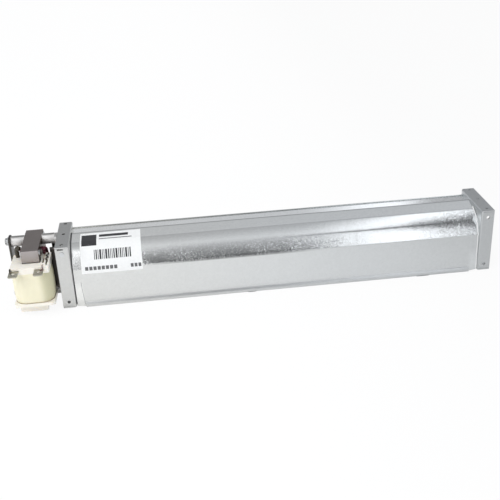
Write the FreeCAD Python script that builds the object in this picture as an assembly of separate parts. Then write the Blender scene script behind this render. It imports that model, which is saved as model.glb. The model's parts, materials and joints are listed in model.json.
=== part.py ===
import FreeCAD, Part
import math
import os

Vector = FreeCAD.Vector

# Cross flow blower with a shaded-pole motor, in millimetres.
# X runs along the impeller away from the motor, Y runs from the outlet side
# to the inlet side, and Z is up. The origin lies midway between the two end
# plates, in the plane they stand on, level with their middle screw holes.

# End plates
web_to_web = 296.0
plate_height = 48.0
plate_depth = 43.2
plate_thickness = 1.0
plate_bend = 1.2
flange_width = 9.5
corner_gap = 0.15
corner_relief_length = 4.2
corner_relief_height = 1.1
corner_relief_from_web = 5.8
screw_hole_radius = 1.2
hole_from_web = 5.0
hole_from_front = 4.5
hole_from_back = 2.7
low_hole_height = 4.8
high_hole_from_top = 5.4
shaft_opening_radius = 5.8

# Scroll sheet
sheet_thickness = 0.6
bulge_radius = 23.3
bulge_from_front = 24.6
bulge_height = 23.0
bulge_start_angle = 114.4
bulge_end_angle = 168.0
ridge_from_front = 26.4
ridge_below_top = 1.8
rear_edge_from_back = 1.2
rear_edge_below_top = 4.8
panel_bottom_height = 0.1
panel_overhang = 0.9
panel_end_setback = 0.6
joggle_top_length = 4.2
joggle_bottom_length = 6.9
hem_height = 3.4
lug_width = 4.0
lug_reach = 1.2
lug_root = 0.4
lug_thinning = 0.05
lug_fit = 0.15
bulge_lug_angles = (125.0, 158.0)
panel_lug_heights = (12.5,)

# Impeller
axis_from_front = 21.6
axis_height = 25.8
impeller_radius = 15.0
impeller_end_gap = 3.0
blade_count = 24
blade_rim = 0.45
blade_depth = 3.6
blade_sweep = 9.0
blade_bow = 0.9
blade_thickness = 0.4
blade_fit = 0.05
blade_proud = 0.3
disc_thickness = 0.8
mid_disc_count = 2
mid_disc_width = 5.2
hub_radius = 5.0
hub_length = 10.0
hub_screw_radius = 1.5
stub_hub_length = 6.0
vent_radius = 2.2
vent_count = 4
vent_circle = 8.0

# Tongue sheet
tongue_gap = 1.6
tongue_top_angle = -22.0
tongue_end_angle = -74.0
tongue_lip = 4.2
tongue_foot_setback = 2.6
tongue_foot_length = 6.0
tongue_foot_height = 0.5

# Shaft and bearings
shaft_radius = 2.0
shaft_fit = 0.02
shaft_chamfer = 0.3
running_clearance = 0.05
bearing_radius = 4.5
motor_bearing_length = 3.7
bearing_seat_fit = 0.05
bush_length = 6.0
grommet_flange = 2.6
grommet_lip = 1.6
grommet_neck_radius = 7.0
stub_end = 1.2

# Motor stack
stack_length = 12.0
stack_from_web = 20.0
stack_beyond_post = 3.26
stack_back = 31.8
core_leg_depth = 8.4
yoke_height = 9.0
pole_front = 12.6
bore_radius = 8.2
air_gap = 0.3
lamination_corner = 0.6
rotor_overhang = 0.2
end_ring_length = 3.0
end_ring_radius = 7.4
end_ring_bore = 3.6
sleeve_radius = 3.2
stack_rivet_radius = 1.2
stack_rivet_head_radius = 2.0
stack_rivet_head = 0.7
stack_rivet_inset = 3.0
shading_angle = 115.0
shading_inner = 9.3
shading_from_edge = 4.6
shading_wire = 0.9
shading_reach = 3.0
shading_bend = 1.6

# Motor brackets
post_radius = 3.8
post_below_top = 1.86
outer_post_length = 9.7
bracket_thickness = 1.5
bracket_width = 9.6
outer_bracket_waist = 15.0
inner_bracket_dish = 25.0
bracket_overrun = 3.8
inner_bracket_overrun = 2.6
rib_depth = 4.0
rib_end_gap = 0.6
bracket_corner = 2.2
cup_wall = 1.0
cup_depth = 4.5
cup_opening = 2.8
arm_height = 7.0
ear_reach = 6.6
ear_fit = 0.1
frame_screw_radius = 1.5
frame_screw_fit = 0.1
screw_head_radius = 2.7
screw_head_height = 2.2
screw_head_rounding = 0.9
washer_radius = 3.5
washer_thickness = 0.5
retainer_radius = 5.6
retainer_thickness = 0.4
retainer_bore = 3.2
felt_inner_radius = 2.6
felt_outer_radius = 4.4
felt_thickness = 0.9
end_play = 0.4
shaft_tail = 1.6

# Coil and bobbin
bobbin_wall = 0.8
bobbin_fit = 0.15
coil_shift = 0.6
coil_width = 27.9
coil_depth = 24.2
coil_seat_gap = 0.2
coil_below_stack_top = 14.0
coil_corner = 8.5
coil_crown = 0.9
bobbin_flange = 1.2
foot_flange = 2.4
bobbin_corner = 2.5
block_setback = 0.8
block_corner = 1.0
lead_groove_width = 1.0
lead_groove_depth = 1.2
lead_groove_spacing = 2.4
lead_groove_front = 6.5
apron_width = 19.2
apron_shift = 2.4
apron_above_stack_bottom = 1.0
apron_thickness = 1.2
terminal_width = 6.3
terminal_thickness = 0.8
terminal_spacing = 16.8
terminal_shift = 2.6
terminal_above_coil = 2.7
terminal_tip = 19.8
terminal_root = 6.0
terminal_hole_radius = 1.2
terminal_hole_from_tip = 5.2
terminal_fit = 0.05
terminal_chamfer = 1.0

# Label
label_thickness = 0.12
label_start = 6.6
label_length = 42.9
label_bottom = 25.2
label_below_ridge = 2.0

# Plate rivets
rivet_radius = 1.1
rivet_head_radius = 1.7
rivet_head_height = 0.5

# Places worked out from the sizes above
hole_pitch = (plate_depth - hole_from_front - hole_from_back) / 2
front_y = -(hole_from_front + hole_pitch)
back_y = front_y + plate_depth
motor_web_x = -web_to_web / 2
bearing_web_x = web_to_web / 2
axis_y = front_y + axis_from_front
axis_z = axis_height
bulge_y = front_y + bulge_from_front
bulge_end = math.radians(bulge_end_angle)
panel_top_y = bulge_y + bulge_radius * math.cos(bulge_end)
panel_top_z = bulge_height + bulge_radius * math.sin(bulge_end)
panel_bottom_y = front_y - panel_overhang
high_hole_height = plate_height - high_hole_from_top
panel_fold_z = panel_bottom_height + sheet_thickness
panel_lean = (panel_top_y - panel_bottom_y) / (panel_top_z - panel_fold_z)
post_height = plate_height - post_below_top
lower_post_height = 2 * axis_z - post_height
stack_top = post_height + stack_beyond_post
shading_outer = stack_top - axis_z - shading_from_edge
stack_bottom = lower_post_height - stack_beyond_post
window_top = stack_top - yoke_height
window_bottom = stack_bottom + yoke_height
stack_right = motor_web_x - stack_from_web
stack_left = stack_right - stack_length
stack_front = front_y - core_leg_depth / 2
stack_rear = front_y + stack_back
stack_middle = (stack_left + stack_right) / 2
coil_x = stack_middle - coil_shift
coil_bottom = window_bottom + coil_seat_gap + bobbin_flange
coil_top = stack_top - coil_below_stack_top
terminal_height = coil_top + terminal_above_coil
inner_bar_right = motor_web_x - flange_width
inner_bar_left = inner_bar_right - bracket_thickness
outer_bar_right = stack_left - outer_post_length
outer_bar_left = outer_bar_right - bracket_thickness
rear_edge = (back_y - rear_edge_from_back, plate_height - rear_edge_below_top)
ridge = (front_y + ridge_from_front, plate_height - ridge_below_top)
drive_disc_x = motor_web_x + impeller_end_gap
idle_disc_x = bearing_web_x - impeller_end_gap
rotor_left = stack_left - rotor_overhang
rotor_right = stack_right + rotor_overhang


def box(x0, x1, y0, y1, z0, z1):
    return Part.makeBox(x1 - x0, y1 - y0, z1 - z0, Vector(x0, y0, z0))


def rod_x(radius, x0, x1, y=axis_y, z=axis_z):
    return Part.makeCylinder(radius, x1 - x0, Vector(x0, y, z), Vector(1, 0, 0))


def rod_y(radius, y0, y1, x, z):
    return Part.makeCylinder(radius, y1 - y0, Vector(x, y0, z), Vector(0, 1, 0))


def rod_z(radius, z0, z1, x, y):
    return Part.makeCylinder(radius, z1 - z0, Vector(x, y, z0), Vector(0, 0, 1))


def tube_x(outer, inner, x0, x1, y=axis_y, z=axis_z):
    return rod_x(outer, x0, x1, y, z).cut(rod_x(inner, x0, x1, y, z))


def span_box(xa, xb, ya, yb, z0, z1):
    """A box between two X and two Y places given in either order."""
    return box(min(xa, xb), max(xa, xb), min(ya, yb), max(ya, yb), z0, z1)


def fuse(shapes):
    joined = shapes[0]
    for shape in shapes[1:]:
        joined = joined.fuse(shape)
    return joined.removeSplitter()


def prism_x(points, x0, x1):
    corners = [Vector(x0, y, z) for y, z in points]
    face = Part.Face(Part.makePolygon(corners + corners[:1]))
    return face.extrude(Vector(x1 - x0, 0, 0))


def polar(y, z, radius, angle):
    turn = math.radians(angle)
    return (y + radius * math.cos(turn), z + radius * math.sin(turn))


def slab_x(start, end, thickness, x0, x1):
    """A flat strip of sheet from start to end, its thickness on the left."""
    step_y, step_z = left_of(start, end, thickness)
    far_end = (end[0] + step_y, end[1] + step_z)
    far_start = (start[0] + step_y, start[1] + step_z)
    return prism_x([start, end, far_end, far_start], x0, x1)


def sector_x(y, z, inner, outer, angle0, angle1, x0, x1):
    """A curved strip of sheet round an axis along X."""
    middle = (angle0 + angle1) / 2

    def arc(radius):
        points = [polar(y, z, radius, angle) for angle in (angle0, middle, angle1)]
        return [Vector(x0, point[0], point[1]) for point in points]

    out = arc(outer)
    inn = arc(inner)
    edges = [
        Part.Arc(out[0], out[1], out[2]).toShape(),
        Part.makeLine(out[2], inn[2]),
        Part.Arc(inn[2], inn[1], inn[0]).toShape(),
        Part.makeLine(inn[0], out[0]),
    ]
    return Part.Face(Part.Wire(edges)).extrude(Vector(x1 - x0, 0, 0))


def left_of(start, end, distance):
    """The step to the left of the way from start to end, as (y, z)."""
    length = math.hypot(end[0] - start[0], end[1] - start[1])
    return (-(end[1] - start[1]) / length * distance, (end[0] - start[0]) / length * distance)


def mitre(before, corner, after, distance):
    """The corner of a line that runs at a distance to the left of two others."""
    a = left_of(before, corner, 1)
    b = left_of(corner, after, 1)
    scale = distance / (1 + a[0] * b[0] + a[1] * b[1])
    return (corner[0] + (a[0] + b[0]) * scale, corner[1] + (a[1] + b[1]) * scale)


def along(start, end, distance):
    """The point at a distance from start towards end, as (y, z)."""
    share = distance / math.hypot(end[0] - start[0], end[1] - start[1])
    return (start[0] + share * (end[0] - start[0]), start[1] + share * (end[1] - start[1]))


def revolve_x(profile, y=axis_y, z=axis_z):
    """Turns a closed profile of (x, radius) points about an axis along X."""
    corners = [Vector(x, y, z + radius) for x, radius in profile]
    face = Part.Face(Part.makePolygon(corners + corners[:1]))
    return face.revolve(Vector(0, y, z), Vector(1, 0, 0), 360)


def edges_along(shape, direction):
    found = []
    for edge in shape.Edges:
        if isinstance(edge.Curve, Part.Line) and abs(abs(edge.Curve.Direction.dot(direction)) - 1) < 1e-6:
            found.append(edge)
    return found


# End plates: folded trays whose flanges point away from the scroll

def plate_holes(side):
    hole_x = side * (web_to_web / 2 + hole_from_web)
    cutters = []
    for row in range(3):
        hole_y = front_y + hole_from_front + row * hole_pitch
        cutters.append(rod_z(screw_hole_radius, -1, plate_height + 1, hole_x, hole_y))
    for hole_z in (low_hole_height, high_hole_height):
        cutters.append(rod_y(screw_hole_radius, front_y - 1, back_y + 1, hole_x, hole_z))
    return cutters


def folded_tray(side):
    web_x = side * web_to_web / 2
    rim_x = web_x + side * flange_width
    outer = span_box(web_x, rim_x, front_y, back_y, 0, plate_height)
    folds = []
    for edge in outer.Edges:
        if all(abs(vertex.X - web_x) < 1e-6 for vertex in edge.Vertexes):
            folds.append(edge)
    outer = outer.makeFillet(plate_bend, folds)
    inner_x = web_x + side * plate_thickness
    past_x = rim_x + side * plate_thickness
    inner = span_box(inner_x, past_x, front_y + plate_thickness, back_y - plate_thickness,
                     plate_thickness, plate_height - plate_thickness)
    tray = outer.cut(inner)
    gap_x = web_x + side * plate_bend
    for y0, y1 in ((front_y - 1, front_y + plate_thickness), (back_y - plate_thickness, back_y + 1)):
        for edge_z in (plate_thickness, plate_height - plate_thickness - corner_gap):
            tray = tray.cut(span_box(gap_x, past_x, y0, y1, edge_z, edge_z + corner_gap))
    for cutter in plate_holes(side):
        tray = tray.cut(cutter)
    return tray


def lug_bodies(side, grow):
    """The sheet's tabs that pass through the end plates, or their slots."""
    web_x = side * web_to_web / 2
    tip_x = web_x + side * (plate_thickness + lug_reach)
    root_x = web_x - side * lug_root
    x0 = min(root_x, tip_x)
    x1 = max(root_x, tip_x)
    margin = grow - lug_thinning
    lugs = []
    for angle in bulge_lug_angles:
        spread = math.degrees((lug_width / 2 + margin) / bulge_radius)
        lugs.append(sector_x(bulge_y, bulge_height, bulge_radius - sheet_thickness - margin,
                             bulge_radius + margin, angle - spread, angle + spread, x0, x1))
    for height in panel_lug_heights:
        low = height - lug_width / 2 - margin
        high = height + lug_width / 2 + margin
        y_low = end_panel_y(low)
        y_high = end_panel_y(high)
        lugs.append(prism_x([(y_low - margin, low), (y_high - margin, high),
                             (y_high + sheet_thickness + margin, high),
                             (y_low + sheet_thickness + margin, low)], x0, x1))
    return lugs


def end_panel_y(height):
    share = (panel_top_z - height) / (panel_top_z - panel_fold_z)
    return panel_top_y + share * (front_y + panel_end_setback - panel_top_y)


def motor_side_plate():
    tray = folded_tray(-1)
    relief_x = motor_web_x - corner_relief_from_web
    relief_z = plate_height - plate_thickness - corner_relief_height
    tray = tray.cut(box(relief_x - corner_relief_length / 2, relief_x + corner_relief_length / 2,
                        front_y - 1, front_y + plate_thickness, relief_z, plate_height - plate_thickness))
    tray = tray.cut(rod_x(shaft_opening_radius, motor_web_x - plate_thickness, motor_web_x))
    for lug in lug_bodies(-1, lug_fit):
        tray = tray.cut(lug)
    return tray


def bearing_side_plate():
    tray = folded_tray(1)
    tray = tray.cut(rod_x(grommet_neck_radius, bearing_web_x, bearing_web_x + plate_thickness))
    for lug in lug_bodies(1, lug_fit):
        tray = tray.cut(lug)
    return tray


# Scroll: a bulged sheet with a roof behind it and a flared, hemmed panel below

def panel_wire(z, y_middle, y_end, joggle):
    half = web_to_web / 2
    outline = [(-half, y_end), (-half + joggle, y_middle), (half - joggle, y_middle), (half, y_end)]
    front = [Vector(x, y, z) for x, y in outline]
    rear = [Vector(x, y + sheet_thickness, z) for x, y in reversed(outline)]
    return Part.makePolygon(front + rear + front[:1])


def scroll_sheet():
    crease = polar(bulge_y, bulge_height, bulge_radius, bulge_start_angle)
    inner_radius = bulge_radius - sheet_thickness
    inner_crease = polar(bulge_y, bulge_height, inner_radius, bulge_start_angle)
    inner_ridge = mitre(rear_edge, ridge, crease, sheet_thickness)
    step_y, step_z = left_of(rear_edge, ridge, sheet_thickness)
    inner_rear = (rear_edge[0] + step_y, rear_edge[1] + step_z)
    roof = prism_x([rear_edge, ridge, crease, inner_crease, inner_ridge, inner_rear],
                   motor_web_x, bearing_web_x)
    bulge = sector_x(bulge_y, bulge_height, inner_radius, bulge_radius, bulge_start_angle,
                     bulge_end_angle, motor_web_x, bearing_web_x)
    top = panel_wire(panel_top_z, panel_top_y, panel_top_y, joggle_top_length)
    bottom = panel_wire(panel_fold_z, panel_bottom_y, front_y + panel_end_setback, joggle_bottom_length)
    panel = Part.makeLoft([top, bottom], True, True)
    lugs = lug_bodies(-1, 0) + lug_bodies(1, 0)
    return fuse([roof, bulge, panel, hem()] + lugs)


def hem():
    """The panel's lower edge, folded back up against its face."""
    half = web_to_web / 2 - joggle_bottom_length
    top_y = panel_bottom_y + panel_lean * hem_height
    top_z = panel_fold_z + hem_height
    root = sheet_thickness / 2
    flap = prism_x([(panel_bottom_y + root, panel_fold_z), (top_y + root, top_z),
                    (top_y - sheet_thickness, top_z),
                    (panel_bottom_y - sheet_thickness, panel_fold_z)], -half, half)
    fold = sector_x(panel_bottom_y, panel_fold_z, sheet_thickness / 4, sheet_thickness, 180, 360,
                    -half, half)
    return flap.fuse(fold)


def tongue_sheet():
    """The back wall of the outlet, curled close under the impeller."""
    near = impeller_radius + tongue_gap
    top = polar(axis_y, axis_z, near, tongue_top_angle)
    end = polar(axis_y, axis_z, near, tongue_end_angle)
    lip_end = polar(top[0], top[1], tongue_lip, tongue_top_angle)
    foot_z = tongue_foot_height
    foot = (end[0] + tongue_foot_setback, foot_z)
    curl = sector_x(axis_y, axis_z, near, near + sheet_thickness, tongue_end_angle, tongue_top_angle,
                    motor_web_x, bearing_web_x)
    lip = slab_x(lip_end, top, sheet_thickness, motor_web_x, bearing_web_x)
    wall = slab_x(foot, end, -sheet_thickness, motor_web_x, bearing_web_x)
    base = slab_x((foot[0] + tongue_foot_length, foot_z), foot, -sheet_thickness, motor_web_x, bearing_web_x)
    return fuse([curl, lip, wall, base])


# Impeller: curved blades held in slotted discs

def blade_section(grow, x0, x1):
    """One blade's curved strip, or with grow its slot in a disc."""
    outer_radius = impeller_radius - blade_rim
    inner_radius = outer_radius - blade_depth
    start = polar(0, 0, inner_radius - grow, 0)
    end = polar(0, 0, outer_radius + grow, blade_sweep)
    chord = math.hypot(end[0] - start[0], end[1] - start[1])
    across = ((end[1] - start[1]) / chord, -(end[0] - start[0]) / chord)
    radius = (chord * chord / 4 + blade_bow * blade_bow) / (2 * blade_bow)
    middle = ((start[0] + end[0]) / 2, (start[1] + end[1]) / 2)
    centre = (middle[0] - across[0] * (radius - blade_bow), middle[1] - across[1] * (radius - blade_bow))
    half_angle = math.degrees(math.asin(chord / 2 / radius))
    crown = math.degrees(math.atan2(across[1], across[0]))
    half = blade_thickness / 2 + grow
    strip = sector_x(centre[0], centre[1], radius - half, radius + half,
                     crown - half_angle, crown + half_angle, x0, x1)
    strip.translate(Vector(0, axis_y, axis_z))
    return strip


def blade_ring(grow, x0, x1):
    first = blade_section(grow, x0, x1)
    ring = []
    for number in range(blade_count):
        blade = first.copy()
        blade.rotate(Vector(0, axis_y, axis_z), Vector(1, 0, 0), number * 360 / blade_count)
        ring.append(blade)
    return ring


def impeller_blades():
    return Part.makeCompound(blade_ring(0, drive_disc_x - blade_proud, idle_disc_x + blade_proud))


def slotted_disc(x0, bore):
    disc = tube_x(impeller_radius, bore, x0, x0 + disc_thickness)
    slots = Part.makeCompound(blade_ring(blade_fit, x0 - 1, x0 + disc_thickness + 1))
    return disc.cut(slots)


def vent_holes(x0):
    holes = []
    for number in range(vent_count):
        y, z = polar(axis_y, axis_z, vent_circle, (number + 0.5) * 360 / vent_count)
        holes.append(rod_x(vent_radius, x0, x0 + disc_thickness, y, z))
    return Part.makeCompound(holes)


def drive_disc():
    return slotted_disc(drive_disc_x, shaft_radius + shaft_fit).cut(vent_holes(drive_disc_x))


def idle_disc():
    x0 = idle_disc_x - disc_thickness
    return slotted_disc(x0, shaft_radius + shaft_fit).cut(vent_holes(x0))


def mid_discs():
    rings = []
    for number in range(mid_disc_count):
        share = (number + 1) / (mid_disc_count + 1)
        x = drive_disc_x + share * (idle_disc_x - drive_disc_x) - disc_thickness / 2
        rings.append(slotted_disc(x, impeller_radius - mid_disc_width))
    return Part.makeCompound(rings)


def drive_hub():
    x0 = drive_disc_x + disc_thickness
    hub = tube_x(hub_radius, shaft_radius + shaft_fit, x0, x0 + hub_length)
    screw_x = x0 + hub_length / 2
    return hub.cut(rod_z(hub_screw_radius, axis_z, axis_z + hub_radius + 1, screw_x, axis_y))


def hub_screw():
    x = drive_disc_x + disc_thickness + hub_length / 2
    screw = rod_z(hub_screw_radius, axis_z + shaft_radius, axis_z + hub_radius, x, axis_y)
    slot_depth = hub_screw_radius / 2
    slot_half = hub_screw_radius / 6
    return screw.cut(box(x - hub_screw_radius, x + hub_screw_radius, axis_y - slot_half, axis_y + slot_half,
                         axis_z + hub_radius - slot_depth, axis_z + hub_radius))


def idle_hub():
    x1 = idle_disc_x - disc_thickness
    return tube_x(hub_radius, shaft_radius + shaft_fit, x1 - stub_hub_length, x1)


def idle_stub_shaft():
    x0 = idle_disc_x - disc_thickness - stub_hub_length
    x1 = bearing_web_x + bush_length - grommet_lip + stub_end
    shaft = rod_x(shaft_radius, x0, x1)
    return shaft.makeChamfer(shaft_chamfer, round_ends(shaft))


def round_ends(shaft):
    return [edge for edge in shaft.Edges if isinstance(edge.Curve, Part.Circle)]


# Bearing at the far end, in a rubber grommet

def idle_grommet():
    outer = grommet_neck_radius + grommet_flange
    x0 = bearing_web_x - grommet_lip
    x1 = bearing_web_x + plate_thickness
    x2 = x1 + grommet_lip
    return revolve_x([(x0, bearing_radius), (x0, outer), (bearing_web_x, outer),
                      (bearing_web_x, grommet_neck_radius), (x1, grommet_neck_radius), (x1, outer),
                      (x2, outer), (x2, bearing_radius)])


def idle_bush():
    x0 = bearing_web_x - grommet_lip
    return tube_x(bearing_radius, shaft_radius + running_clearance, x0, x0 + bush_length)


# Motor stack and what turns inside it

def stack_block(y0, y1, z0, z1):
    return box(stack_left, stack_right, y0, y1, z0, z1)


def stator_c_frame():
    frame = stack_block(stack_front, stack_rear, stack_bottom, stack_top)
    frame = frame.cut(stack_block(stack_front, front_y + pole_front, window_bottom, window_top))
    frame = frame.makeFillet(lamination_corner, edges_along(frame, Vector(1, 0, 0)))
    frame = frame.cut(rod_x(bore_radius, stack_left, stack_right))
    for z in (post_height, lower_post_height):
        frame = frame.cut(rod_x(frame_screw_radius + frame_screw_fit, stack_left, stack_right, axis_y, z))
    for y, z in rivet_places():
        frame = frame.cut(rod_x(stack_rivet_radius, stack_left, stack_right, y, z))
    for turn in (0, 180):
        for radius in (shading_inner, shading_outer):
            y, z = polar(axis_y, axis_z, radius, shading_angle + turn)
            frame = frame.cut(rod_x(shading_wire, stack_left, stack_right, y, z))
    return frame


def coil_core():
    return stack_block(stack_front, front_y + core_leg_depth / 2, window_bottom, window_top)


def rivet_places():
    front = stack_front + stack_rivet_inset
    rear = stack_rear - stack_rivet_inset
    low = stack_bottom + stack_rivet_inset
    high = stack_top - stack_rivet_inset
    return [(front, low), (front, high), (rear, low), (rear, high)]


def stack_rivets():
    rivets = []
    for y, z in rivet_places():
        shank = rod_x(stack_rivet_radius, stack_left, stack_right, y, z)
        left = rod_x(stack_rivet_head_radius, stack_left - stack_rivet_head, stack_left, y, z)
        right = rod_x(stack_rivet_head_radius, stack_right, stack_right + stack_rivet_head, y, z)
        rivets.append(fuse([shank, left, right]))
    return Part.makeCompound(rivets)


def bent_loop(corners, bend, wire_radius):
    """A closed loop of round wire through the corners, each bent to a radius."""
    pieces = []
    count = len(corners)
    for number in range(count):
        before = corners[number - 1]
        corner = corners[number]
        after = corners[(number + 1) % count]
        arrive = (corner - before).normalize()
        leave = (after - corner).normalize()
        bend_start = corner - arrive * bend
        bend_end = corner + leave * bend
        bend_middle = corner + (leave - arrive) * bend * (1 - math.sqrt(0.5))
        next_start = after - leave * bend
        arc = Part.Arc(bend_start, bend_middle, bend_end).toShape()
        circle = Part.Wire(Part.Circle(bend_start, arrive, wire_radius).toShape())
        pieces.append(Part.Wire(arc).makePipeShell([circle], True, True))
        run = next_start - bend_end
        pieces.append(Part.makeCylinder(wire_radius, run.Length, bend_end, run))
    return fuse(pieces)


def shading_rings():
    """Two closed copper loops through the pole tips, either side of the bore."""
    left = stack_left - shading_reach
    right = stack_right + shading_reach
    loops = []
    for turn in (0, 180):
        inner = polar(axis_y, axis_z, shading_inner, shading_angle + turn)
        outer = polar(axis_y, axis_z, shading_outer, shading_angle + turn)
        corners = [Vector(left, inner[0], inner[1]), Vector(right, inner[0], inner[1]),
                   Vector(right, outer[0], outer[1]), Vector(left, outer[0], outer[1])]
        loops.append(bent_loop(corners, shading_bend, shading_wire))
    return Part.makeCompound(loops)


def rotor_core():
    return tube_x(bore_radius - air_gap, shaft_radius + shaft_fit, rotor_left, rotor_right)


def rotor_end_rings():
    left = tube_x(end_ring_radius, end_ring_bore, rotor_left - end_ring_length, rotor_left)
    right = tube_x(end_ring_radius, end_ring_bore, rotor_right, rotor_right + end_ring_length)
    return Part.makeCompound([left, right])


def spacer_sleeves():
    """Sleeves on the shaft between the rotor core and the two bearing cups."""
    inner_cup = inner_bar_left - cup_depth
    outer_cup = outer_bar_right + cup_depth
    left = tube_x(sleeve_radius, shaft_radius + shaft_fit, outer_cup + end_play, rotor_left)
    right = tube_x(sleeve_radius, shaft_radius + shaft_fit, rotor_right, inner_cup - end_play)
    return Part.makeCompound([left, right])


def motor_shaft():
    x0 = outer_bar_left - shaft_tail
    x1 = drive_disc_x + disc_thickness + hub_length
    shaft = rod_x(shaft_radius, x0, x1)
    return shaft.makeChamfer(shaft_chamfer, round_ends(shaft))


# Motor brackets, their bearings and the long screws

def bearing_cup(mouth_x, direction):
    """A drawn cup whose mouth is flush with the bar's far face."""
    floor_x = mouth_x + direction * (bracket_thickness + cup_depth)
    inside = bearing_radius + bearing_seat_fit
    outside = inside + cup_wall
    inner_floor = floor_x - direction * cup_wall
    return revolve_x([(mouth_x, inside), (mouth_x, outside), (floor_x, outside), (floor_x, cup_opening),
                      (inner_floor, cup_opening), (inner_floor, inside)])


def bar_outline(x0, x1, overrun, disc):
    half = bracket_width / 2
    top = post_height + overrun
    bottom = 2 * axis_z - top
    bar = box(x0, x1, axis_y - half, axis_y + half, bottom, top)
    ends = edges_along(bar, Vector(1, 0, 0))
    bar = bar.makeFillet(bracket_corner, ends)
    middle = rod_x(disc / 2, x0, x1)
    return bar.fuse(middle).cut(rod_x(bearing_radius + bearing_seat_fit, x0, x1))


def bracket_bar(x0, x1, overrun, disc, mouth_x, direction):
    bar = bar_outline(x0, x1, overrun, disc)
    for z in (post_height, lower_post_height):
        bar = bar.cut(rod_x(frame_screw_radius + frame_screw_fit, x0, x1, axis_y, z))
    return bar.fuse(bearing_cup(mouth_x, direction))


def outer_bearing_bracket():
    bar = bracket_bar(outer_bar_left, outer_bar_right, bracket_overrun, outer_bracket_waist,
                      outer_bar_left, 1)
    return bar.removeSplitter()


def ear_places():
    """The outer face of each ear of the inner bracket, with the side that it faces."""
    return [(-1, front_y + plate_thickness + ear_fit), (1, back_y - plate_thickness - ear_fit)]


def inner_bracket_ribs():
    """The wider middle of the inner bar, with a stiffening rib folded up along each edge."""
    z0 = lower_post_height + post_radius + rib_end_gap
    z1 = post_height - post_radius - rib_end_gap
    half = bearing_radius + cup_wall + bracket_thickness
    pieces = [box(inner_bar_left, inner_bar_right, axis_y - half, axis_y + half, z0, z1)]
    for side in (-1, 1):
        edge_y = axis_y + side * half
        inner_y = edge_y - side * bracket_thickness
        pieces.append(span_box(inner_bar_left - rib_depth, inner_bar_left, edge_y, inner_y, z0, z1))
    return pieces


def inner_bearing_bracket():
    """The inner bar, with an arm across the tray behind it and an ear folded in at each end."""
    bar = bracket_bar(inner_bar_left, inner_bar_right, inner_bracket_overrun, inner_bracket_dish,
                      inner_bar_right, -1)
    hole_x = motor_web_x - hole_from_web
    z0 = high_hole_height - arm_height / 2
    z1 = high_hole_height + arm_height / 2
    ears = ear_places()
    arm_right = inner_bar_right + bracket_thickness
    arm = box(inner_bar_right, arm_right, ears[0][1], ears[1][1], z0, z1)
    pieces = [bar, arm] + inner_bracket_ribs()
    for side, face_y in ears:
        ear_right = inner_bar_right + ear_reach
        ear = span_box(inner_bar_right, ear_right, face_y, face_y - side * bracket_thickness, z0, z1)
        pieces.append(ear.cut(rod_y(screw_hole_radius, front_y, back_y, hole_x, high_hole_height)))
    bracket = fuse(pieces)
    bracket = bracket.cut(rod_x(bearing_radius + bearing_seat_fit, inner_bar_left, inner_bar_right))
    for z in (post_height, lower_post_height):
        screw_way = rod_x(frame_screw_radius + frame_screw_fit, inner_bar_left, inner_bar_right, axis_y, z)
        bracket = bracket.cut(screw_way)
    return bracket


def motor_bearing(cup_floor, direction):
    """A sintered ball with its sides faced off, on the shaft."""
    half = motor_bearing_length / 2
    middle_x = cup_floor - direction * (cup_wall + felt_thickness + half)
    ball = Part.makeSphere(bearing_radius, Vector(middle_x, axis_y, axis_z))
    ball = ball.common(rod_x(bearing_radius + cup_wall, middle_x - half, middle_x + half))
    return ball.cut(rod_x(shaft_radius + running_clearance, middle_x - half, middle_x + half))


def outer_bearing():
    return motor_bearing(outer_bar_right + cup_depth, 1)


def inner_bearing():
    return motor_bearing(inner_bar_left - cup_depth, -1)


def oil_felts():
    outer_x = outer_bar_right + cup_depth - cup_wall - felt_thickness
    inner_x = inner_bar_left - cup_depth + cup_wall
    return Part.makeCompound([
        tube_x(felt_outer_radius, felt_inner_radius, outer_x, outer_x + felt_thickness),
        tube_x(felt_outer_radius, felt_inner_radius, inner_x, inner_x + felt_thickness)])


def bearing_retainers():
    far_left = outer_bar_left - retainer_thickness
    far_right = inner_bar_right + retainer_thickness
    return Part.makeCompound([
        tube_x(retainer_radius, retainer_bore, far_left, outer_bar_left),
        tube_x(retainer_radius, retainer_bore, inner_bar_right, far_right)])


def post_sleeves(x0, x1):
    sleeves = []
    for z in (post_height, lower_post_height):
        sleeves.append(tube_x(post_radius, frame_screw_radius + frame_screw_fit, x0, x1, axis_y, z))
    return Part.makeCompound(sleeves)


def outer_posts():
    return post_sleeves(outer_bar_right, stack_left)


def inner_posts():
    return post_sleeves(stack_right, inner_bar_left)


def frame_washers():
    washers = []
    for z in (post_height, lower_post_height):
        washers.append(tube_x(washer_radius, frame_screw_radius + frame_screw_fit,
                              outer_bar_left - washer_thickness, outer_bar_left, axis_y, z))
    return Part.makeCompound(washers)


def frame_screws():
    """Long screws whose heads clamp the outer bracket and whose ends thread into the inner one."""
    screws = []
    seat_x = outer_bar_left - washer_thickness
    for z in (post_height, lower_post_height):
        shank = rod_x(frame_screw_radius, seat_x, inner_bar_right, axis_y, z)
        top_x = seat_x - screw_head_height
        slot_floor = seat_x - screw_head_height / 2
        head = rod_x(screw_head_radius, top_x, seat_x, axis_y, z)
        rim = [edge for edge in round_ends(head) if edge.CenterOfMass.x < slot_floor]
        head = head.makeFillet(screw_head_rounding, rim)
        slot_half = frame_screw_radius / 4
        slot = box(top_x, slot_floor, axis_y - screw_head_radius, axis_y + screw_head_radius,
                   z - slot_half, z + slot_half)
        screws.append(shank.fuse(head.cut(slot)))
    return Part.makeCompound(screws)


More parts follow.
